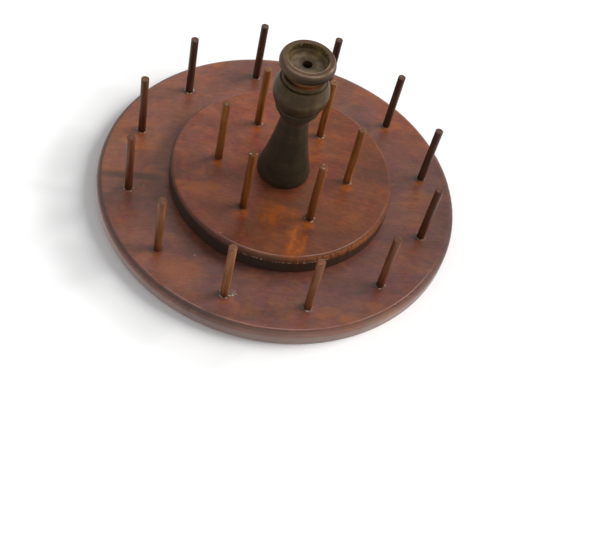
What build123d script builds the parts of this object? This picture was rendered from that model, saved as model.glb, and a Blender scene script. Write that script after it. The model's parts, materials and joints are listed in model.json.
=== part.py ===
from build123d import *
from math import sqrt
import os

# A turned-wood stand for spools of sewing thread.  A round base carries a ring of upright pegs,
# a smaller round tier turns on top of it and carries a second ring, and a turned post rises from
# the middle.  Millimetres, +Z up, origin in the middle of the underside of the base.

# ---- base board ----
base_diameter = 210.0
base_thickness = 9.5
base_rim_inset = 3.6       # how far the rounded rim reaches in from the side
base_rim_drop = 3.2        # how far it reaches down; it meets the side at a faint edge
edge_break = 0.5           # small bevel round the underside of both boards

# ---- tier board ----
tier_setback = 23.0        # from the outer ring of pegs to the side of the tier
tier_thickness = 11.5
tier_rim_inset = 2.5
tier_rim_drop = 2.3
tier_turn_at_rest = 13.5   # degrees from an outer peg to the next inner peg, as the stand was left

# ---- pegs ----
peg_diameter = 4.5
peg_end_relief = 0.1       # the glued end is this much thinner all round than its hole
outer_peg_count = 12
outer_peg_margin = 17.5    # from the side of the base to the middle of a peg
outer_peg_rise = 41.0      # above the base
outer_peg_web = 2.5        # wood left under a peg hole in the base
inner_peg_count = 6
inner_peg_standoff = 22.3  # from the widest part of the post's foot to the middle of a peg
inner_peg_rise = 43.0      # above the tier
inner_peg_web = 6.5        # wood left under a peg hole in the tier

# ---- post, from the foot up ----
foot_radius = 15.2
foot_tuck = 0.3            # how much narrower the foot is where it stands on the tier
foot_swell = 0.25          # how much narrower it is where the shaft begins
foot_rise = 4.2
shaft_length = 39.2
shaft_hollow = 0.8         # how far the shaft's side is hollowed in the middle of its length
shaft_top_radius = 7.7
neck_length = 1.7
lower_bead_radius = 9.8
upper_bead_radius = 12.2
bead_slope_height = 2.0    # sloping underside of a bead
bead_side_height = 1.6
bead_break_height = 0.7    # sloping top of a bead, in to the groove above it
bead_groove_depth = 0.35
ball_radius = 15.2
ball_top_radius = 12.9
undercut_radius = 11.2     # between the ball and the collar
undercut_height = 0.6
collar_radius = 12.0
collar_thickness = 2.4
collar_bevel = 0.5
groove_radius = 10.3
groove_width = 4.5
cap_undercut = 2.05        # from the widest part of the cap in to its lower edge
cap_radius = 14.95
cap_thickness = 7.0
cap_crest_inset = 1.45     # from the widest part of the cap in to its top edge
cap_rim_width = 2.75
recess_depth = 4.2
recess_bevel = 0.3
recess_corner = 1.2        # bevel between the wall of the recess and its floor
dish_radius = 5.2          # shallow dish round the hole in the floor of the recess
dish_depth = 0.4
top_hole_radius = 2.7
top_hole_depth = 12.0
tenon_radius = 7.0
tenon_glue_line = 0.05     # between the tenon and the wall of its hole in the tier

# ---- pivot: a screw up through the base and the tier into the post ----
tier_gap = 0.3             # the tier turns this far above the base, on the bearing washer
bearing_washer_radius = 13.5
bearing_washer_thickness = 1.5
washer_recess_clearance = 0.25
screw_radius = 2.4
screw_running_clearance = 0.08
screw_thread_clearance = 0.02
screw_reach = 16.0         # above the top of the tier, into the post
screw_tip_length = 5.0
screw_tip_radius = 0.5
screw_hole_spare = 1.0     # past the tip of the screw
head_radius = 4.7
head_bevel = 0.9
head_height = 2.6
head_slot_width = 1.2
head_slot_depth = 1.1
head_float = 0.1           # between the screw head and its washer, so that the tier turns freely
head_setback = 0.3         # of the screw head above the underside of the base
screw_washer_radius = 8.0
screw_washer_thickness = 1.2
screw_washer_clearance = 0.3
counterbore_clearance = 0.6

# ---- worked out from the sizes above ----
base_radius = base_diameter / 2
peg_radius = peg_diameter / 2
outer_ring_radius = base_radius - outer_peg_margin
inner_ring_radius = foot_radius + inner_peg_standoff
tier_radius = outer_ring_radius - tier_setback
tier_bottom = base_thickness + tier_gap
tier_top = tier_bottom + tier_thickness
washer_hole_radius = screw_radius + screw_washer_clearance
counterbore_depth = head_setback + head_height + head_float + screw_washer_thickness
screw_head_top = head_setback + head_height
washer_seat = tier_bottom - bearing_washer_thickness
inner_first_angle = tier_turn_at_rest


def draw_board_outline(radius, bottom, top, rim_inset, rim_drop):
    """Half outline of a turned board, for the line builder that is open."""
    crest = (radius - rim_inset, top)
    shoulder = (radius, top - rim_drop)
    Polyline((0, bottom), (radius - edge_break, bottom), (radius, bottom + edge_break), shoulder)
    TangentArc(crest, shoulder, tangent=(1, 0))
    Polyline(crest, (0, top), (0, bottom))


def make_base_disc():
    with BuildPart() as base_disc:
        with BuildSketch(Plane.XZ):
            with BuildLine():
                draw_board_outline(base_radius, 0, base_thickness, base_rim_inset, base_rim_drop)
            make_face()
        revolve(axis=Axis.Z)
        # blind holes for the outer pegs
        with BuildSketch(Plane.XY.offset(outer_peg_web)):
            with PolarLocations(outer_ring_radius, outer_peg_count):
                Circle(peg_radius)
        extrude(amount=base_thickness, mode=Mode.SUBTRACT)
        # seat of the bearing washer
        with BuildSketch(Plane.XY.offset(washer_seat)):
            Circle(bearing_washer_radius + washer_recess_clearance)
        extrude(amount=base_thickness, mode=Mode.SUBTRACT)
        # running hole of the pivot screw, and the counterbore of its head
        with BuildSketch(Plane.XY):
            Circle(screw_radius + screw_running_clearance)
        extrude(amount=base_thickness, mode=Mode.SUBTRACT)
        with BuildSketch(Plane.XY):
            Circle(screw_washer_radius + counterbore_clearance)
        extrude(amount=counterbore_depth, mode=Mode.SUBTRACT)
    return base_disc


def make_tier_disc():
    with BuildPart() as tier_disc:
        with BuildSketch(Plane.XZ):
            with BuildLine():
                draw_board_outline(tier_radius, tier_bottom, tier_top, tier_rim_inset, tier_rim_drop)
            make_face()
        revolve(axis=Axis.Z)
        with BuildSketch(Plane.XY.offset(tier_bottom + inner_peg_web)):
            with PolarLocations(inner_ring_radius, inner_peg_count, start_angle=inner_first_angle):
                Circle(peg_radius)
        extrude(amount=tier_thickness, mode=Mode.SUBTRACT)
        with BuildSketch(Plane.XY.offset(tier_bottom)):
            Circle(tenon_radius + tenon_glue_line)
        extrude(amount=tier_thickness, mode=Mode.SUBTRACT)
    return tier_disc


def bead_points(radius, bottom):
    """Corners of a bead above its inner lower edge: its side, then the groove above it."""
    side_bottom = bottom + bead_slope_height
    side_top = side_bottom + bead_side_height
    return [(radius, side_bottom), (radius, side_top),
            (radius - bead_groove_depth, side_top + bead_break_height)]


def make_centre_post():
    seat_plane = Plane(origin=(0, 0, tier_top), x_dir=(1, 0, 0), z_dir=(0, -1, 0))
    shaft_bottom_radius = foot_radius - foot_swell
    crest_radius = cap_radius - cap_crest_inset
    recess_radius = crest_radius - cap_rim_width
    # heights above the tier
    shaft_top = foot_rise + shaft_length
    neck_top = shaft_top + neck_length
    lower_bead = bead_points(lower_bead_radius, neck_top)
    upper_bead = bead_points(upper_bead_radius, lower_bead[-1][1])
    ball_bottom_radius, ball_bottom = upper_bead[-1]
    ball_middle = ball_bottom + sqrt(ball_radius**2 - ball_bottom_radius**2)
    ball_top = ball_middle + sqrt(ball_radius**2 - ball_top_radius**2)
    collar_bottom = ball_top + undercut_height
    collar_top = collar_bottom + collar_thickness
    cap_bottom = collar_top + groove_width
    cap_top = cap_bottom + cap_thickness
    recess_floor = cap_top - recess_depth
    hole_floor = recess_floor - top_hole_depth
    with BuildPart() as centre_post:
        with BuildSketch(seat_plane):
            with BuildLine():
                # tenon, foot and the slightly hollow shaft
                Polyline((0, -tier_thickness), (tenon_radius, -tier_thickness), (tenon_radius, 0),
                         (foot_radius - foot_tuck, 0))
                ThreePointArc((foot_radius - foot_tuck, 0), (foot_radius, foot_rise / 2),
                              (shaft_bottom_radius, foot_rise))
                ThreePointArc((shaft_bottom_radius, foot_rise),
                              ((shaft_bottom_radius + shaft_top_radius) / 2 - shaft_hollow,
                               (foot_rise + shaft_top) / 2), (shaft_top_radius, shaft_top))
                # neck and two beads
                Polyline((shaft_top_radius, shaft_top), (shaft_top_radius, neck_top),
                         *lower_bead, *upper_bead)
                # ball
                ThreePointArc(upper_bead[-1], (ball_radius, ball_middle), (ball_top_radius, ball_top))
                # undercut, collar and groove
                Polyline((ball_top_radius, ball_top), (undercut_radius, ball_top),
                         (undercut_radius, collar_bottom), (collar_radius - collar_bevel, collar_bottom),
                         (collar_radius, collar_bottom + collar_bevel),
                         (collar_radius, collar_top - collar_bevel),
                         (collar_radius - collar_bevel, collar_top), (groove_radius, collar_top),
                         (groove_radius, cap_bottom), (cap_radius - cap_undercut, cap_bottom))
                # cap
                ThreePointArc((cap_radius - cap_undercut, cap_bottom),
                              (cap_radius, (cap_bottom + cap_top) / 2), (crest_radius, cap_top))
                # recess, its dished floor and the hole in it
                Polyline((crest_radius, cap_top), (recess_radius + recess_bevel, cap_top),
                         (recess_radius, cap_top - recess_bevel),
                         (recess_radius, recess_floor + recess_corner),
                         (recess_radius - recess_corner, recess_floor), (dish_radius, recess_floor),
                         (top_hole_radius, recess_floor - dish_depth),
                         (top_hole_radius, hole_floor), (0, hole_floor), (0, -tier_thickness))
            make_face()
        revolve(axis=Axis.Z)
        # hole of the pivot screw
        with BuildSketch(Plane.XY.offset(tier_bottom)):
            Circle(screw_radius + screw_thread_clearance)
        extrude(amount=tier_thickness + screw_reach + screw_hole_spare, mode=Mode.SUBTRACT)
    return centre_post


def make_peg(ring_radius, angle, hole_floor, board_top, rise):
    place = Location(Vector(ring_radius, 0, 0).rotate(Axis.Z, angle))
    with BuildPart() as peg:
        # glued end, down to the floor of its hole
        with BuildSketch(Plane.XY.offset(hole_floor) * place):
            Circle(peg_radius - peg_end_relief)
        extrude(amount=board_top - hole_floor)
        # the dowel above the board
        with BuildSketch(Plane.XY.offset(board_top) * place):
            Circle(peg_radius)
        extrude(amount=rise)
    return peg


def make_bearing_washer():
    with BuildPart() as bearing_washer:
        with BuildSketch(Plane.XY.offset(washer_seat)):
            Circle(bearing_washer_radius)
            Circle(washer_hole_radius, mode=Mode.SUBTRACT)
        extrude(amount=bearing_washer_thickness)
    return bearing_washer


def make_screw_washer():
    with BuildPart() as screw_washer:
        with BuildSketch(Plane.XY.offset(counterbore_depth - screw_washer_thickness)):
            Circle(screw_washer_radius)
            Circle(washer_hole_radius, mode=Mode.SUBTRACT)
        extrude(amount=screw_washer_thickness)
    return screw_washer


def make_pivot_screw():
    screw_end = tier_top + screw_reach
    with BuildPart() as pivot_screw:
        with BuildSketch(Plane.XZ):
            with BuildLine():
                Polyline((0, head_setback), (head_radius - head_bevel, head_setback),
                         (head_radius, head_setback + head_bevel), (head_radius, screw_head_top),
                         (screw_radius, screw_head_top), (screw_radius, screw_end - screw_tip_length),
                         (screw_tip_radius, screw_end), (0, screw_end), (0, head_setback))
            make_face()
        revolve(axis=Axis.Z)
        with BuildSketch(Plane.XY.offset(head_setback)):
            Rectangle(2 * head_radius, head_slot_width)
        extrude(amount=head_slot_depth, mode=Mode.SUBTRACT)
    return pivot_screw


def save(piece, node):
    piece.part.label = node
    export_step(piece.part, f"parts/{node}.step")


os.makedirs("parts", exist_ok=True)
save(make_base_disc(), "base_disc")
save(make_tier_disc(), "tier_disc")
save(make_centre_post(), "centre_post")
save(make_bearing_washer(), "bearing_washer")
save(make_screw_washer(), "screw_washer")
save(make_pivot_screw(), "pivot_screw")
for number in range(outer_peg_count):
    outer_angle = number * 360 / outer_peg_count
    outer_peg = make_peg(outer_ring_radius, outer_angle, outer_peg_web, base_thickness, outer_peg_rise)
    save(outer_peg, f"outer_peg_{number + 1:02d}")
for number in range(inner_peg_count):
    inner_angle = inner_first_angle + number * 360 / inner_peg_count
    inner_peg = make_peg(inner_ring_radius, inner_angle, tier_bottom + inner_peg_web, tier_top,
                         inner_peg_rise)
    save(inner_peg, f"inner_peg_{number + 1:02d}")
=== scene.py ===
import bpy
import json
from math import cos, radians, sin, tau
from mathutils import Matrix, Vector


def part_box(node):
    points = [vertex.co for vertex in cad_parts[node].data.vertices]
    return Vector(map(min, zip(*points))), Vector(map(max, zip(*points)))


# The look of a turned-wood stand for spools of thread: old glossy varnish on two reddish boards,
# satin pegs, a nearly black post with a worn cap.  Metres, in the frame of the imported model.
# Directions round the stand are degrees from +X, seen from above; the photograph looks from -84.

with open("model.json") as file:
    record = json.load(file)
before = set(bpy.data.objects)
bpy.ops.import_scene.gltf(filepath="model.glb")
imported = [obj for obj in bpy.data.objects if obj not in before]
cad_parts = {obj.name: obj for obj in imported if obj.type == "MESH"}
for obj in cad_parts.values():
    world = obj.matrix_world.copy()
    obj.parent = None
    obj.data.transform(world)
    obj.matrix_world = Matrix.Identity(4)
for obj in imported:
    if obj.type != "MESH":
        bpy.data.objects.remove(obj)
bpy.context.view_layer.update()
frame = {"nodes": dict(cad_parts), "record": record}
nodes = frame["nodes"]

# ---- sizes that the finishes follow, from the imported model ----
base_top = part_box("base_disc")[1].z
base_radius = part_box("base_disc")[1].x
tier_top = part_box("tier_disc")[1].z
tier_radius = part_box("tier_disc")[1].x
post_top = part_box("centre_post")[1].z
outer_peg_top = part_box("outer_peg_01")[1].z
inner_peg_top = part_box("inner_peg_01")[1].z
dims = {mount["name"]: mount["dims"] for mount in frame["record"]["mounts"]}
outer_ring_radius = dims["outer_pegs"]["pcd_mm"] / 2000
inner_ring_radius = dims["inner_pegs"]["pcd_mm"] / 2000
peg_radius = dims["outer_pegs"]["stud_r_mm"] / 1000
recess_radius = dims["top_recess"]["r_mm"] / 1000

# ---- sizes that the frame doesn't give ----
tier_turn_at_rest = 13.5              # degrees from +X to the first inner peg
base_crest_inset = 0.0036             # from the side of a board in to its flat top
tier_crest_inset = 0.0025
base_rim_drop = 0.0032                # how far the rounded rim of the base reaches down
neck_height = tier_top + 0.0443       # middle of the post's neck
ball_start = tier_top + 0.0480
groove_height = tier_top + 0.0765     # middle of the groove under the cap
groove_half = 0.0022
crest_line_radius = 0.0137            # of the worn line on the cap
recess_depth = 0.0042
peg_tip_easing = 0.0009

# ---- rings of pegs: radius, count, angle of the first peg ----
outer_ring = (outer_ring_radius, dims["outer_pegs"]["count"], 0.0)
inner_ring = (inner_ring_radius, dims["inner_pegs"]["count"], radians(tier_turn_at_rest))

# ---- what lies round each peg ----
peg_reflection_spot = (0.0016, -0.0046)       # from a peg's axis to the middle of its painted reflection before it
# from a peg's axis to the middle of its painted shadow
peg_shadow_spot = (-0.0030, -0.0015)
dark_ring_reach = 0.0030                  # from a peg's side
base_glue_reach = 0.0014
tier_glue_reach = 0.0011

# ---- directions ----
outer_peg_fade = -88.0                # painted light: the outer pegs are paler the further they stand this way
inner_peg_fade = -60.0                # and painted shade: the inner pegs darker the further this way
base_grain = 21.6
tier_grain = 8.0

# ---- where one finish gives way to another: distances from the axis ----
base_outer_zone = (0.082, 0.092)
tier_outer_zone = (0.030, 0.050)
recess_floor_edge = (0.0082, 0.0096)
hole_edge = (0.0026, 0.0068)

# ---- patches on the boards: x and y of the middle, half length, half width, way of the length ----
dark_streak = (-0.077, -0.0345, 0.027, 0.0038, base_grain)
dull_by_streak = (-0.083, -0.050, 0.030, 0.014, base_grain)
warm_back = (0.014, 0.094, 0.036, 0.014, -8.0)
orange_back = (0.056, 0.080, 0.036, 0.022, -52.0)
dark_back = (-0.052, 0.078, 0.034, 0.018, 35.0)
front_mark_right = (0.034, -0.084, 0.013, 0.0075, 20.0)
front_mark_middle = (0.012, -0.093, 0.013, 0.0055, 5.0)
front_mark_left = (-0.027, -0.084, 0.016, 0.011, 20.0)
glue_heap = (0.0037, -0.0854, 0.0040, 0.0030, 0.0)
painted_light_by_post = (-0.018, -0.010, 0.026, 0.018, 30.0)
worn_front = (0.0245, -0.046, 0.024, 0.0075, 102.0)
worn_by_post = (0.009, -0.034, 0.015, 0.009, 35.0)

# ---- sides of the pieces: direction, and the cosines of the turn from it where an effect starts
# and where it is full ----
base_front_right = (-35.0, -0.2, 0.9)
base_front = (-105.0, 0.3, 0.95)
base_far_right = (14.0, 0.86, 0.98)
base_left = (165.0, -0.2, 0.8)
# front side where the crest line of wear and painted highlight shows
base_crest_highlit = (-62.0, 0.45, 0.85)
# side of the base with painted light
base_side_lit = (-50.0, 0.62, 0.97)
base_side_left = (-150.0, 0.0, 0.7)
base_side_shaded = (-2.0, 0.82, 0.97)
tier_left = (180.0, -0.2, 0.9)
tier_front = (-78.0, 0.45, 0.95)
tier_right = (0.0, 0.0, 0.9)
# front side where the crest line of wear and painted highlight shows
tier_crest_highlit = (-55.0, 0.45, 0.85)
tier_side_left = (-165.0, 0.25, 0.80)
tier_side_rubbed = (-38.0, 0.80, 0.98)
tier_side_chipped = (-70.0, 0.88, 0.94)
cap_shaded_side = (-10.0, -0.6, 0.9)
groove_rubbed = (-68.0, 0.70, 0.98)
# front sides where pale lines of wear and painted highlight show on the cap
cap_crest_highlit = (-60.0, 0.0, 0.8)
recess_mouth_highlit = (-60.0, -0.2, 0.7)
recess_lit_side = (10.0, -0.5, 0.5)

# ---- colours, as plain linear values ----
white = (1.0, 1.0, 1.0)
black = (0.0, 0.0, 0.0)
floor_grey = (0.80, 0.80, 0.80)
wood_dark = (0.075, 0.023, 0.014)
wood_low = (0.112, 0.031, 0.017)
wood_mid = (0.152, 0.040, 0.019)
wood_warm = (0.196, 0.053, 0.019)
wood_orange = (0.275, 0.080, 0.018)
# orange of bare wood, also used for the painted reflections of the pegs
bare_and_reflected_orange = (0.335, 0.082, 0.009)
veil = (0.175, 0.112, 0.098)
# pale crest line: wear, and painted highlight
worn_and_highlit_edge = (0.36, 0.23, 0.20)
# painted light on the side of the base
side_painted_light = (0.40, 0.22, 0.16)
side_brown = (0.050, 0.022, 0.009)
old_glue = (0.50, 0.46, 0.35)
# near black: grime, a streak, the tier's black side, and painted shade below the base's crest and
# round the post's hole
grime_and_shade = (0.026, 0.016, 0.010)
# painted shadow beside each peg
peg_shadow_brown = (0.050, 0.038, 0.028)
# painted reflection of the floor, partly dust, on the lower side of the base
dust_and_floor_reflection = (0.36, 0.29, 0.26)
peg_end = (0.100, 0.052, 0.038)
# chips at peg tips, partly painted glints
peg_chip_and_glint = (0.52, 0.38, 0.23)
cap_side_stain = (0.034, 0.019, 0.012)
neck_brown = (0.060, 0.024, 0.016)
groove_stained = (0.070, 0.026, 0.016)
groove_bare = (0.200, 0.070, 0.022)
rim_brown = (0.150, 0.080, 0.050)
# pale lines on the cap: wear, and painted highlight
cap_worn_and_highlit = (0.38, 0.25, 0.18)
# painted shade on the wall of the recess
recess_wall_shade = (0.085, 0.058, 0.018)
recess_olive = (0.230, 0.165, 0.045)
recess_glint = (0.60, 0.50, 0.30)
recess_floor_brown = (0.185, 0.130, 0.082)
zinc = (0.56, 0.56, 0.57)
brass = (0.72, 0.53, 0.24)

# ---- tints, which multiply what they are laid over ----
purplish = (1.02, 0.95, 1.40)
olive = (0.99, 1.06, 0.80)
mottle_dark = (0.88, 0.875, 0.87)
mottle_pale = (1.12, 1.12, 1.12)
cool_dim = (0.80, 0.82, 0.94)
faintly_pale = (1.17, 1.21, 1.24)
cold_dim = (0.72, 0.80, 0.95)
warm = (1.05, 0.92, 0.70)
orange_cast = (1.24, 0.90, 0.52)
dim = (0.76, 0.76, 0.82)
cold_dark = (0.68, 0.74, 0.84)
pale = (1.30, 1.28, 1.10)
# painted shade on the right of the base's side
side_painted_shade = (0.70, 0.70, 0.76)
amber = (1.16, 0.95, 0.55)
rosy = (1.20, 1.30, 1.95)
slightly_dim = (0.80, 0.82, 0.84)
# painted light beside the post
painted_light_tint = (1.30, 1.25, 1.15)
cool = (0.78, 0.84, 0.95)
peg_foot_tint = (0.40, 0.34, 0.30)
peg_lower_tint = (0.58, 0.50, 0.46)
cap_lit = (1.45, 1.35, 1.30)
cap_shaded = (0.62, 0.58, 0.55)

# ---- ramps: where each colour lies between 0 and 1 ----
board_figure = [(0.38, wood_dark), (0.44, wood_low), (0.50, wood_mid), (0.56, wood_warm),
                (0.64, wood_orange)]
outer_peg_shades = [(0.00, (0.098, 0.047, 0.031)), (0.25, (0.098, 0.046, 0.029)),
                    (0.50, (0.116, 0.041, 0.020)), (0.75, (0.160, 0.053, 0.023)),
                    (0.92, (0.205, 0.076, 0.033)), (1.00, (0.320, 0.130, 0.050))]
inner_peg_shades = [(0.30, (0.290, 0.110, 0.028)), (0.45, (0.270, 0.102, 0.028)),
                    (0.56, (0.258, 0.094, 0.026)), (0.65, (0.215, 0.067, 0.015)),
                    (0.71, (0.172, 0.055, 0.015))]
peg_grain = [(0.36, (0.55, 0.50, 0.45)), (0.50, (0.95, 0.93, 0.90)), (0.64, (1.45, 1.50, 1.55))]
shaft_stain = [(0.35, (0.018, 0.014, 0.008)), (0.55, (0.038, 0.026, 0.013)),
               (0.70, (0.076, 0.040, 0.019))]
head_stain = [(0.35, (0.030, 0.018, 0.008)), (0.52, (0.066, 0.042, 0.018)),
              (0.68, (0.130, 0.084, 0.038))]

# ---- camera: the photograph's view ----
view_azimuth = radians(6.05)
view_elevation = radians(52.96)
view_roll = radians(16.41)
view_distance = 0.580
view_target = Vector((0.0285, -0.0543, 0.0))   # in the frame turned by the azimuth
sensor_width = 36.0
image_width = 600
focal_pixels = 1036.6
centre_offset = 2.9                            # pixels from the image's middle to the lens axis

# ---- light and floor ----
sun_azimuth = 36.0          # direction that the light comes from
sun_elevation = 29.0
sun_spread = 42.0           # a large soft source
sun_strength = 4.00
sun_colour = (1.0, 0.99, 0.975)
ambient_strength = 0.44
ambient_colour = (0.98, 0.99, 1.0)
floor_size = 8.0
floor_height = -0.0001
floor_lift = 0.16           # light that the floor itself gives to the camera, away from the shadow
lift_start = 0.021          # from the side of the base
lift_full = 0.041


class Graph:
    """Short ways to add shader nodes to one new material."""

    def __init__(self, name):
        self.material = bpy.data.materials.new(name)
        self.material.use_nodes = True
        self.tree = self.material.node_tree
        self.shader = self.tree.nodes["Principled BSDF"]
        self.place = self.node("TexCoord").outputs["Object"]
        self.x, self.y, self.z = self.node("SeparateXYZ", self.place).outputs
        self.colour = None

    def node(self, kind, *inputs, **settings):
        made = self.tree.nodes.new("ShaderNode" + kind)
        for name, value in settings.items():
            setattr(made, name, value)
        for socket, value in zip(made.inputs, inputs):
            self.feed(socket, value)
        return made

    def feed(self, socket, value):
        if isinstance(value, bpy.types.NodeSocket):
            self.tree.links.new(value, socket)
        elif value is not None:
            socket.default_value = value

    def set(self, **values):
        """Feed the shader's sockets, named with _ for each space."""
        for name, value in values.items():
            self.feed(self.shader.inputs[name.replace("_", " ")], value)

    def math(self, operation, *values):
        return self.node("Math", *values, operation=operation).outputs[0]

    def total(self, first, *rest):
        for value in rest:
            first = self.math("ADD", first, value)
        return first

    def product(self, first, *rest):
        for value in rest:
            first = self.math("MULTIPLY", first, value)
        return first

    def inverse(self, value):
        return self.math("SUBTRACT", 1.0, value)

    def combine(self, x, y, z):
        return self.node("CombineXYZ", x, y, z).outputs[0]

    def noise(self, vector, scale, detail=3.0, roughness=0.55, distortion=0.0):
        made = self.node("TexNoise")
        self.feed(made.inputs["Vector"], vector)
        made.inputs["Scale"].default_value = scale
        made.inputs["Detail"].default_value = detail
        made.inputs["Roughness"].default_value = roughness
        made.inputs["Distortion"].default_value = distortion
        return made.outputs[0]

    def span(self, value, low, high):
        """0 below low, 1 above high, smooth between."""
        made = self.node("MapRange", value, low, high, 0.0, 1.0)
        made.interpolation_type = "SMOOTHSTEP"
        return made.outputs[0]

    def speckle(self, vector, scale, detail, roughness, low, high, distortion=0.0):
        """Noise as patches: 0 where it is below low, 1 where it is above high."""
        return self.span(self.noise(vector, scale, detail, roughness, distortion), low, high)

    def band(self, value, middle, half, soft):
        """1 within half of middle, falling to 0 over soft on either side."""
        away = self.math("ABSOLUTE", self.math("SUBTRACT", value, middle))
        return self.inverse(self.span(away, half, half + soft))

    def ramp(self, value, stops):
        made = self.node("ValToRGB", value)
        points = made.color_ramp.elements
        while len(points) < len(stops):
            points.new(0.5)
        for point, (position, colour) in zip(points, stops):
            point.position = position
            point.color = (*colour, 1.0)
        return made.outputs[0]

    def mix(self, amount, first, second, blend="MIX"):
        made = self.node("Mix", data_type="RGBA", blend_type=blend)
        self.feed(made.inputs[0], amount)
        for socket, value in zip(made.inputs[6:8], (first, second)):
            self.feed(socket, (*value, 1.0) if isinstance(value, tuple) else value)
        return made.outputs[2]

    def paint(self, amount, colour):
        """Lay a colour over the one that is there."""
        self.colour = self.mix(amount, self.colour, colour)

    def tint(self, amount, colour):
        """Multiply the colour that is there."""
        self.colour = self.mix(amount, self.colour, colour, "MULTIPLY")

    def bump(self, height, strength, depth, normal=None):
        made = self.node("Bump")
        made.inputs["Strength"].default_value = strength
        made.inputs["Distance"].default_value = depth
        self.feed(made.inputs["Height"], height)
        if normal is not None:
            self.feed(made.inputs["Normal"], normal)
        return made.outputs[0]

    def reach(self, x, y, angle):
        """How far a place lies in a direction."""
        return self.total(self.product(x, cos(angle)), self.product(y, sin(angle)))

    def squares(self, x, y):
        return self.total(self.math("POWER", x, 2.0), self.math("POWER", y, 2.0))

    def from_axis(self):
        """Distance from the upright axis."""
        return self.math("SQRT", self.squares(self.x, self.y))

    def facing(self, degrees, low, high):
        """One side of the stand: 0 to 1 between two cosines of the turn from a direction."""
        cosine = self.math("DIVIDE", self.reach(self.x, self.y, radians(degrees)), self.from_axis())
        return self.span(cosine, low, high)

    def from_ring(self, ring_radius, count, first_angle, shift):
        """Distance, seen from above, to the nearest of a ring of points, or to points beside them."""
        pitch = tau / count
        angle = self.math("SUBTRACT", self.math("ARCTAN2", self.y, self.x), first_angle)
        steps = self.math("ROUND", self.math("DIVIDE", angle, pitch))
        nearest = self.total(self.product(steps, pitch), first_angle)
        point_x = self.total(self.product(self.math("COSINE", nearest), ring_radius), shift[0])
        point_y = self.total(self.product(self.math("SINE", nearest), ring_radius), shift[1])
        dx = self.math("SUBTRACT", self.x, point_x)
        dy = self.math("SUBTRACT", self.y, point_y)
        return self.math("SQRT", self.squares(dx, dy))

    def blot(self, x, y, half_length, half_width, degrees):
        """A soft oval patch, 1 in its middle; its length lies in the direction given."""
        dx = self.math("SUBTRACT", self.x, x)
        dy = self.math("SUBTRACT", self.y, y)
        along = self.reach(dx, dy, radians(degrees))
        across = self.reach(dx, dy, radians(degrees) + tau / 4)
        squares = self.squares(self.math("DIVIDE", along, half_length),
                               self.math("DIVIDE", across, half_width))
        return self.inverse(self.span(squares, 0.0, 1.0))


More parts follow.
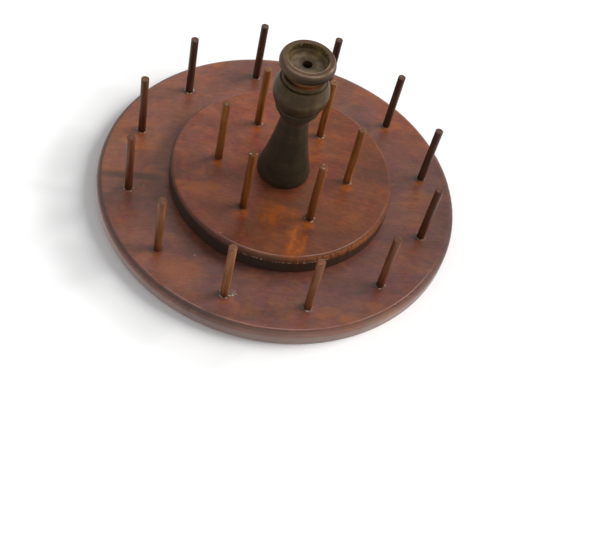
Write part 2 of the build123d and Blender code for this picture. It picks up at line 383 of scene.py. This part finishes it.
class Board(Graph):
    """Glossy old varnish over reddish wood with a mottled figure, for one of the two boards."""

    def __init__(self, name, grain, crest_radius, top, ring):
        super().__init__(name)
        self.crest_radius, self.top, self.ring = crest_radius, top, ring
        self.r = self.from_axis()
        self.on_top = self.span(self.z, top - 0.0002, top - 0.0001)
        self.along_grain = self.reach(self.x, self.y, radians(grain))
        self.across_grain = self.reach(self.x, self.y, radians(grain) + tau / 4)

    def drawn_out(self, stretch):
        """Place with the grain's way shortened, so that a texture is drawn out along it."""
        return self.combine(self.product(self.along_grain, stretch), self.across_grain, self.z)

    def beyond_crest(self, start, full):
        """The side of the board: 0 up to start out from the crest, 1 from full on."""
        return self.span(self.r, self.crest_radius + start, self.crest_radius + full)

    def by_pegs(self, near, far, shift=(0.0, 0.0)):
        """On the top, round each peg or a point beside it: 1 within near, falling to 0 at far."""
        return self.product(self.inverse(self.span(self.from_ring(*self.ring, shift), near, far)),
                            self.on_top)

    def figure(self):
        """Large clouds, blotches, streaks and fine lines, mostly drawn out along the grain."""
        clouds = self.noise(self.drawn_out(0.6), 30.0, 3.0, 0.55, 0.6)
        blotches = self.noise(self.drawn_out(0.7), 120.0, 5.0, 0.7, 0.4)
        streaks = self.noise(self.drawn_out(0.09), 120.0, 4.0, 0.6, 0.2)
        self.lines = self.noise(self.drawn_out(0.03), 900.0, 3.0, 0.7)
        fine = self.noise(self.drawn_out(0.5), 650.0, 3.0, 0.75)
        tone = self.total(self.product(clouds, 0.24), self.product(blotches, 0.28),
                          self.product(streaks, 0.14), self.product(self.lines, 0.11),
                          self.product(fine, 0.23))
        self.colour = self.ramp(tone, board_figure)
        # a purplish and an olive cast in turn, and a finer mottle
        cast = self.speckle(self.place, 90.0, 5.0, 0.75, 0.36, 0.64)
        self.tint(1.0, self.mix(cast, purplish, olive))
        mottle = self.speckle(self.drawn_out(0.45), 420.0, 4.0, 0.75, 0.36, 0.64)
        self.tint(1.0, self.mix(mottle, mottle_dark, mottle_pale))
        patches = self.speckle(self.drawn_out(0.6), 62.0, 3.0, 0.6, 0.55, 0.68, 0.5)
        self.paint(self.product(patches, 0.60), wood_orange)
        shadows = self.speckle(self.drawn_out(0.22), 75.0, 4.0, 0.6, 0.57, 0.70, 0.3)
        self.paint(self.product(shadows, 0.55), wood_dark)
        pores = self.speckle(self.drawn_out(0.06), 1500.0, 2.0, 0.6, 0.60, 0.70)
        self.paint(self.product(pores, 0.40), wood_dark)
        # the varnish has dulled to a greyish veil, here and there thin
        dull = self.speckle(self.place, 48.0, 5.0, 0.65, 0.36, 0.62)
        self.paint(self.total(0.03, self.product(dull, 0.19)), veil)

    def age(self, glue_reach, worn_and_highlit_side, peg_reflection_strength):
        """Painted peg reflections, dark rings and crumbs of old glue at the pegs, crest wear and
        painted highlight, dust.
        """
        # painted reflection of each peg: orange patches on the glossy top in front of it
        peg_reflection = self.by_pegs(0.0006, 0.0050, peg_reflection_spot)
        uneven = self.speckle(self.place, 260.0, 3.0, 0.6, 0.30, 0.60)
        self.paint(self.product(peg_reflection, uneven, peg_reflection_strength), bare_and_reflected_orange)
        patchy = self.speckle(self.place, 75.0, 2.0, 0.55, 0.40, 0.62)
        # a darker ring round each peg's foot
        self.dark_ring = self.product(self.by_pegs(peg_radius, peg_radius + dark_ring_reach), patchy)
        self.paint(self.product(self.dark_ring, 0.55), grime_and_shade)
        crumbs = self.speckle(self.place, 620.0, 3.0, 0.7, 0.47, 0.60)
        some = self.speckle(self.place, 24.0, 1.0, 0.55, 0.40, 0.55)
        self.glue = self.product(self.by_pegs(peg_radius + 0.0003, peg_radius + glue_reach),
                                 crumbs, some)
        self.paint(self.product(self.glue, 0.75), old_glue)
        # a pale line wanders along the crest on the front side, partly wear, partly painted
        # highlight;
        # it shows last of all
        wander = self.noise(self.place, 55.0, 3.0)
        line = self.band(self.total(self.r, self.product(wander, 0.0004)),
                         self.crest_radius + 0.0004, 0.00010, 0.00026)
        self.crest_wear_and_highlight = self.product(line, self.span(self.z, self.top - 0.0008, self.top - 0.0003),
                                 self.facing(*worn_and_highlit_side), self.span(wander, 0.25, 0.60), 0.7)
        dust = self.speckle(self.place, 430.0, 1.0, 0.4, 0.805, 0.83)
        self.paint(self.product(dust, 0.35), old_glue)

    def finish(self, shine, dull_side):
        """Crest line of wear and painted highlight, a sheen with rubbed patches, a little grain felt
        through.
        """
        self.paint(self.crest_wear_and_highlight, worn_and_highlit_edge)
        rubbed = self.noise(self.place, 22.0, 4.0, 0.6)
        roughness = self.total(0.24, self.product(rubbed, 0.22), self.product(self.glue, 0.35),
                               self.product(self.dark_ring, 0.15),
                               self.product(self.beyond_crest(0.0006, 0.0016), dull_side))
        height = self.total(self.product(self.lines, 0.6), self.product(rubbed, 0.8),
                            self.product(self.glue, 3.0))
        self.set(Base_Color=self.colour, Roughness=roughness, Specular_IOR_Level=shine,
                 Normal=self.bump(height, 0.35, 0.0002))
        return self.material


def base_material():
    g = Board("base_varnish", base_grain, base_radius - base_crest_inset, base_top, outer_ring)
    g.figure()
    # darker at the front right, paler at the front; a dark streak on the left, dull wood before it
    g.tint(g.product(g.facing(*base_front_right), 0.85), cool_dim)
    g.tint(g.facing(*base_front), faintly_pale)
    g.paint(g.product(g.blot(*dark_streak), 0.70), grime_and_shade)
    g.tint(g.product(g.blot(*dull_by_streak), 0.4), cold_dim)
    # warm and dark patches at the back, dark at the far right, pale on the left
    g.tint(g.blot(*warm_back), warm)
    g.tint(g.blot(*orange_back), orange_cast)
    g.tint(g.blot(*dark_back), dim)
    g.tint(g.product(g.facing(*base_far_right), g.span(g.r, *base_outer_zone)), cold_dark)
    g.tint(g.facing(*base_left), pale)
    # orange marks along the front edge
    marks = g.math("MAXIMUM", g.blot(*front_mark_right), g.blot(*front_mark_middle))
    upright = g.speckle(g.combine(g.x, g.product(g.y, 0.18), g.z), 300.0, 4.0, 0.6, 0.35, 0.70)
    g.paint(g.product(marks, upright, 0.6), wood_orange)
    g.paint(g.product(g.blot(*front_mark_left), 0.45), wood_orange)
    # painted shadow beside the foot of each peg
    g.paint(g.product(g.by_pegs(0.0004, 0.0042, peg_shadow_spot), 0.45), peg_shadow_brown)
    g.age(base_glue_reach, base_crest_highlit, peg_reflection_strength=0.15)
    # the largest heap of glue, in front of the peg at the middle of the front
    heap = g.product(g.blot(*glue_heap), g.speckle(g.place, 900.0, 3.0, 0.7, 0.50, 0.60), g.on_top)
    g.paint(g.product(heap, 0.8), old_glue)
    # the side: painted light at the front right, painted shade as a dark line below the crest,
    # deepest on the left, paler towards the bottom as painted reflection of the floor and partly
    # dust, painted shade on the right
    side = g.beyond_crest(0.0012, 0.0020)
    cloudy = g.total(0.25, g.noise(g.place, 70.0, 4.0, 0.6))
    g.paint(g.product(side, g.facing(*base_side_lit), cloudy, 0.50), side_painted_light)
    # painted shade: a dark line below the crest
    line = g.product(g.band(g.r, g.crest_radius + 0.0018, 0.0005, 0.0007),
                     g.span(g.z, base_top - 0.0030, base_top - 0.0015),
                     g.total(0.55, g.product(g.facing(*base_side_left), 0.45)))
    g.paint(g.product(line, 0.70), grime_and_shade)
    # paler towards the bottom: painted reflection of the floor, partly dust
    rim_foot = base_top - base_rim_drop
    low = g.inverse(g.span(g.z, rim_foot - 0.0030, rim_foot + 0.0022))
    g.paint(g.product(low, g.beyond_crest(0.0012, 0.0026), cloudy, 0.42), dust_and_floor_reflection)
    # painted shade on the right side
    g.tint(g.product(side, g.facing(*base_side_shaded)), side_painted_shade)
    return g.finish(shine=0.5, dull_side=0.05)


def tier_material():
    g = Board("tier_varnish", tier_grain, tier_radius - tier_crest_inset, tier_top, inner_ring)
    g.figure()
    # more amber than the base; rosy on the left, dimmer at the front, painted light beside the post
    # where its shadow falls, cool towards the edge on the right
    g.tint(1.0, amber)
    g.tint(g.facing(*tier_left), rosy)
    g.tint(g.facing(*tier_front), slightly_dim)
    g.tint(g.blot(*painted_light_by_post), painted_light_tint)
    g.tint(g.product(g.facing(*tier_right), g.span(g.r, *tier_outer_zone)), cool)
    # varnish worn to the orange wood in front of the post
    upright = g.speckle(g.combine(g.x, g.product(g.y, 0.25), g.z), 330.0, 3.0, 0.6, 0.30, 0.60)
    patches = g.speckle(g.place, 130.0, 4.0, 0.65, 0.36, 0.60)
    worn = g.math("MAXIMUM", g.blot(*worn_front), g.blot(*worn_by_post))
    g.paint(g.product(worn, g.total(0.15, g.product(patches, upright, 0.85)), 0.95), bare_and_reflected_orange)
    g.age(tier_glue_reach, tier_crest_highlit, peg_reflection_strength=0.75)
    # the side: brown above, nearly black below, and the black reaches further up on the left
    wander = g.product(g.math("SUBTRACT", g.noise(g.place, 240.0, 2.0), 0.5), 0.0008)
    height = g.total(g.z, wander, g.product(g.facing(*tier_side_left), -0.0022))
    blackened = g.inverse(g.span(height, tier_top - 0.0042, tier_top - 0.0030))
    side = g.beyond_crest(0.0008, 0.0016)
    g.paint(g.product(side, 0.60), side_brown)
    # to the right it is rubbed brown, with upright marks
    marks = g.speckle(g.combine(g.x, g.y, g.product(g.z, 0.1)), 600.0, 2.0, 0.6, 0.35, 0.60)
    rubbed = g.product(g.facing(*tier_side_rubbed), marks)
    g.paint(g.product(blackened, side, g.inverse(g.product(rubbed, 0.45)), 0.93), grime_and_shade)
    g.paint(g.product(rubbed, side, g.inverse(blackened), 0.6), wood_orange)
    # pale chips along the border of the black
    chips = g.product(g.band(g.z, tier_top - 0.0031, 0.0003, 0.0005), side,
                      g.speckle(g.place, 900.0, 2.0, 0.6, 0.52, 0.60), g.facing(*tier_side_chipped))
    g.paint(g.product(chips, 0.65), old_glue)
    return g.finish(shine=0.34, dull_side=0.25)


def peg_material(name, foot_height, tip_height, tip_chips_and_glints, fade, shades):
    """Satin dowel: grain along its length, dark foot, painted light and shade across the stand."""
    g = Graph(name)
    # painted light and shade: the colour follows where the peg stands across the stand
    across_stand = g.product(g.reach(g.x, g.y, radians(fade)), 0.5 / outer_ring_radius)
    g.colour = g.ramp(g.total(0.5, across_stand), shades)
    streaks = g.noise(g.combine(g.x, g.y, g.product(g.z, 0.05)), 700.0, 4.0, 0.6, 0.2)
    clouds = g.noise(g.combine(g.x, g.y, g.product(g.z, 0.5)), 60.0, 3.0, 0.5)
    g.tint(1.0, g.ramp(g.total(g.product(streaks, 0.55), g.product(clouds, 0.45)), peg_grain))
    # end grain on the flat tip, and pale specks round its edge: partly chips, partly painted glints
    normal = g.node("SeparateXYZ", g.node("NewGeometry").outputs["Normal"])
    upward = g.span(normal.outputs[2], 0.6, 0.9)
    end_grain = g.speckle(g.place, 1400.0, 2.0, 0.6, 0.35, 0.65)
    g.paint(g.total(g.product(upward, 0.35), g.product(upward, end_grain, 0.35)), peg_end)
    chips = g.product(g.span(g.z, tip_height - 0.0007, tip_height - 0.0003),
                      g.speckle(g.place, 700.0, 2.0, 0.5, 0.60, 0.66), tip_chips_and_glints)
    g.paint(chips, peg_chip_and_glint)
    # darker downwards, most of all at the foot
    foot = g.inverse(g.span(g.z, foot_height, foot_height + 0.006))
    lower = g.inverse(g.span(g.z, foot_height, tip_height))
    g.tint(g.product(foot, 0.6), peg_foot_tint)
    g.tint(g.product(lower, 0.45), peg_lower_tint)
    eased = g.node("Bevel", samples=6)
    eased.inputs["Radius"].default_value = peg_tip_easing
    g.set(Base_Color=g.colour, Roughness=g.total(0.32, g.product(clouds, 0.16)),
          Specular_IOR_Level=0.20, Normal=g.bump(streaks, 0.35, 0.0001, eased.outputs[0]))
    return g.material


def post_material():
    """Nearly black stain, rubbed to brown on the ball and the cap."""
    g = Graph("post_stain")
    streaks = g.noise(g.combine(g.x, g.y, g.product(g.z, 0.12)), 300.0, 4.0, 0.6, 0.3)
    clouds = g.noise(g.place, 90.0, 4.0, 0.6)
    rings = g.noise(g.combine(g.product(g.x, 0.1), g.product(g.y, 0.1), g.z), 420.0, 2.0, 0.6)
    tone = g.total(g.product(streaks, 0.25), g.product(clouds, 0.45), g.product(rings, 0.30))
    height = g.total(g.z, g.product(g.math("SUBTRACT", clouds, 0.5), 0.002))
    g.colour = g.mix(g.span(height, ball_start + 0.002, ball_start + 0.019),
                     g.ramp(tone, shaft_stain), g.ramp(tone, head_stain))
    # the side of the cap, darker to the right; a brown neck; the groove, rubbed bare at the front
    cap_side = g.product(g.span(g.z, groove_height, groove_height + 0.001),
                         g.inverse(g.span(g.z, post_top - 0.0022, post_top - 0.0012)))
    g.paint(g.product(cap_side, 0.45), cap_side_stain)
    g.tint(cap_side, g.mix(g.facing(*cap_shaded_side), cap_lit, cap_shaded))
    g.paint(g.product(g.band(height, neck_height, 0.0012, 0.0015), 0.5), neck_brown)
    g.paint(g.product(g.band(g.z, groove_height, groove_half, 0.0003), 0.75),
            g.mix(g.facing(*groove_rubbed), groove_stained, groove_bare))
    # top of the cap rubbed to a reddish brown, with pale lines on its crest and at the mouth of
    # the recess on the front side: partly wear, partly painted highlight
    r = g.from_axis()
    rim = g.product(g.span(r, recess_radius, recess_radius + 0.0005),
                    g.span(g.z, post_top - 0.0030, post_top - 0.0003))
    g.paint(g.product(rim, 0.35), rim_brown)
    crest = g.product(g.band(r, crest_line_radius, 0.0002, 0.0004),
                      g.span(g.z, post_top - 0.0020, post_top - 0.0008),
                      g.facing(*cap_crest_highlit), g.span(clouds, 0.32, 0.55))
    g.paint(g.product(crest, 0.75), cap_worn_and_highlit)
    mouth = g.product(g.band(r, recess_radius + 0.0003, 0.0002, 0.0004),
                      g.span(g.z, post_top - 0.0010, post_top - 0.0004),
                      g.facing(*recess_mouth_highlit), g.span(clouds, 0.30, 0.50))
    g.paint(g.product(mouth, 0.75), cap_worn_and_highlit)
    # olive gloss on the wall of the recess with painted shade on its left and painted glints near
    # its top; its floor rubbed paler, with painted shade round the hole
    recess_floor = post_top - recess_depth
    inside = g.product(g.inverse(g.span(r, recess_radius, recess_radius + 0.0002)),
                       g.span(g.z, recess_floor - 0.0006, recess_floor - 0.0003))
    worn = g.speckle(g.place, 260.0, 4.0, 0.65, 0.42, 0.60)
    g.paint(g.product(inside, g.total(0.3, g.product(worn, 0.6))),
            g.mix(g.facing(*recess_lit_side), recess_wall_shade, recess_olive))
    # painted glints near the top of the wall
    glints = g.product(inside, g.speckle(g.place, 900.0, 2.0, 0.5, 0.60, 0.68),
                       g.span(g.z, post_top - 0.0026, post_top - 0.0012))
    g.paint(g.product(glints, 0.8), recess_glint)
    floor = g.product(inside, g.inverse(g.span(r, *recess_floor_edge)))
    g.paint(g.product(floor, g.span(worn, -0.6, 1.0), 0.85), recess_floor_brown)
    # painted shade round the hole
    g.paint(g.product(inside, g.inverse(g.span(r, *hole_edge)), 0.85), grime_and_shade)
    # fine marks of the turning tool
    marks = g.noise(g.combine(g.product(g.x, 0.02), g.product(g.y, 0.02), g.z), 1600.0, 2.0, 0.6)
    g.set(Base_Color=g.colour, Specular_IOR_Level=0.17,
          Roughness=g.total(0.34, g.product(clouds, 0.22), g.product(inside, -0.12)),
          Normal=g.bump(g.total(marks, g.product(clouds, 0.6)), 0.35, 0.00015))
    return g.material


def metal_material(name, colour, dull):
    """Turned metal with a darker stain here and there."""
    g = Graph(name)
    turned = g.noise(g.combine(g.from_axis(), 0.0, g.product(g.z, 0.2)), 2400.0, 2.0, 0.6)
    stain = g.noise(g.place, 300.0, 4.0, 0.65)
    g.colour = g.ramp(stain, [(0.35, tuple(c * 0.45 for c in colour)), (0.62, colour)])
    g.set(Base_Color=g.colour, Metallic=1.0, Roughness=g.total(dull, g.product(stain, 0.25)),
          Normal=g.bump(turned, 0.3, 0.00005))
    return g.material


def finish_nodes():
    outer_peg = peg_material("outer_peg_satin", base_top, outer_peg_top, 0.25, outer_peg_fade,
                             outer_peg_shades)
    inner_peg = peg_material("inner_peg_satin", tier_top, inner_peg_top, 0.60, inner_peg_fade,
                             inner_peg_shades)
    steel = metal_material("screw_zinc", zinc, 0.28)
    finishes = {
        "base_disc": base_material(),
        "tier_disc": tier_material(),
        "centre_post": post_material(),
        "pivot_screw": steel,
        "screw_washer": steel,
        "bearing_washer": metal_material("washer_brass", brass, 0.35),
    }
    for name, piece in nodes.items():
        if name.startswith("outer_peg"):
            material = outer_peg
        elif name.startswith("inner_peg"):
            material = inner_peg
        else:
            material = finishes[name]
        for slot in piece.material_slots:
            slot.material = material


def make_floor():
    bpy.ops.mesh.primitive_plane_add(size=floor_size, location=(0, 0, floor_height))
    floor = bpy.context.object
    floor.name = "floor"
    g = Graph("floor_white")
    rays = g.node("LightPath").outputs
    camera = rays["Is Camera Ray"]
    mirrored = g.math("MAXIMUM", rays["Is Glossy Ray"], rays["Is Transmission Ray"])
    # plain white in reflections, and rising to plain white away from the stand's shadow
    away = g.span(g.from_axis(), base_radius + lift_start, base_radius + lift_full)
    lift = g.product(away, camera, floor_lift)
    lit = g.mix(camera, floor_grey, white)
    g.set(Base_Color=g.mix(mirrored, lit, black), Roughness=1.0, Specular_IOR_Level=0.0,
          Emission_Color=(*white, 1.0), Emission_Strength=g.total(mirrored, lift))
    floor.data.materials.append(g.material)


def make_world():
    """Even pale light, with plain white behind the stand and in reflections."""
    world = bpy.data.worlds.new("studio")
    bpy.context.scene.world = world
    world.use_nodes = True
    tree = world.node_tree
    ambient = tree.nodes["Background"]
    ambient.inputs["Color"].default_value = (*ambient_colour, 1.0)
    ambient.inputs["Strength"].default_value = ambient_strength
    backdrop = tree.nodes.new("ShaderNodeBackground")
    backdrop.inputs["Color"].default_value = (*white, 1.0)
    backdrop.inputs["Strength"].default_value = 1.0
    path = tree.nodes.new("ShaderNodeLightPath")
    seen = path.outputs["Is Camera Ray"]
    for ray in ("Is Glossy Ray", "Is Transmission Ray"):
        either = tree.nodes.new("ShaderNodeMath")
        either.operation = "MAXIMUM"
        tree.links.new(seen, either.inputs[0])
        tree.links.new(path.outputs[ray], either.inputs[1])
        seen = either.outputs[0]
    mix = tree.nodes.new("ShaderNodeMixShader")
    tree.links.new(seen, mix.inputs[0])
    tree.links.new(ambient.outputs[0], mix.inputs[1])
    tree.links.new(backdrop.outputs[0], mix.inputs[2])
    tree.links.new(mix.outputs[0], tree.nodes["World Output"].inputs[0])


def make_sun():
    light = bpy.data.lights.new("window", "SUN")
    light.energy = sun_strength
    light.angle = radians(sun_spread)
    light.color = sun_colour
    lamp = bpy.data.objects.new("window", light)
    bpy.context.scene.collection.objects.link(lamp)
    lamp.visible_glossy = False      # the varnish reflects the white surroundings alone
    azimuth, elevation = radians(sun_azimuth), radians(sun_elevation)
    source = Vector((cos(azimuth) * cos(elevation), sin(azimuth) * cos(elevation), sin(elevation)))
    lamp.rotation_euler = source.to_track_quat("Z", "Y").to_euler()


def make_camera():
    data = bpy.data.cameras.new("camera")
    camera = bpy.data.objects.new("camera", data)
    bpy.context.scene.collection.objects.link(camera)
    turn = Matrix.Rotation(view_azimuth, 4, "Z")
    back = turn @ Vector((0, -cos(view_elevation), sin(view_elevation)))
    right = turn @ Vector((1, 0, 0))
    up = back.cross(right)
    rolled_right = right * cos(view_roll) + up * sin(view_roll)
    rolled_up = up * cos(view_roll) - right * sin(view_roll)
    place = Matrix((rolled_right, rolled_up, back)).transposed().to_4x4()
    place.translation = turn @ view_target + back * view_distance
    camera.matrix_world = place
    data.sensor_width = sensor_width
    data.lens = focal_pixels / image_width * sensor_width
    data.shift_x = -centre_offset / image_width
    data.clip_start = 0.01
    bpy.context.scene.camera = camera


make_camera()
finish_nodes()
make_floor()
make_world()
make_sun()
bpy.context.scene.view_settings.view_transform = "Standard"
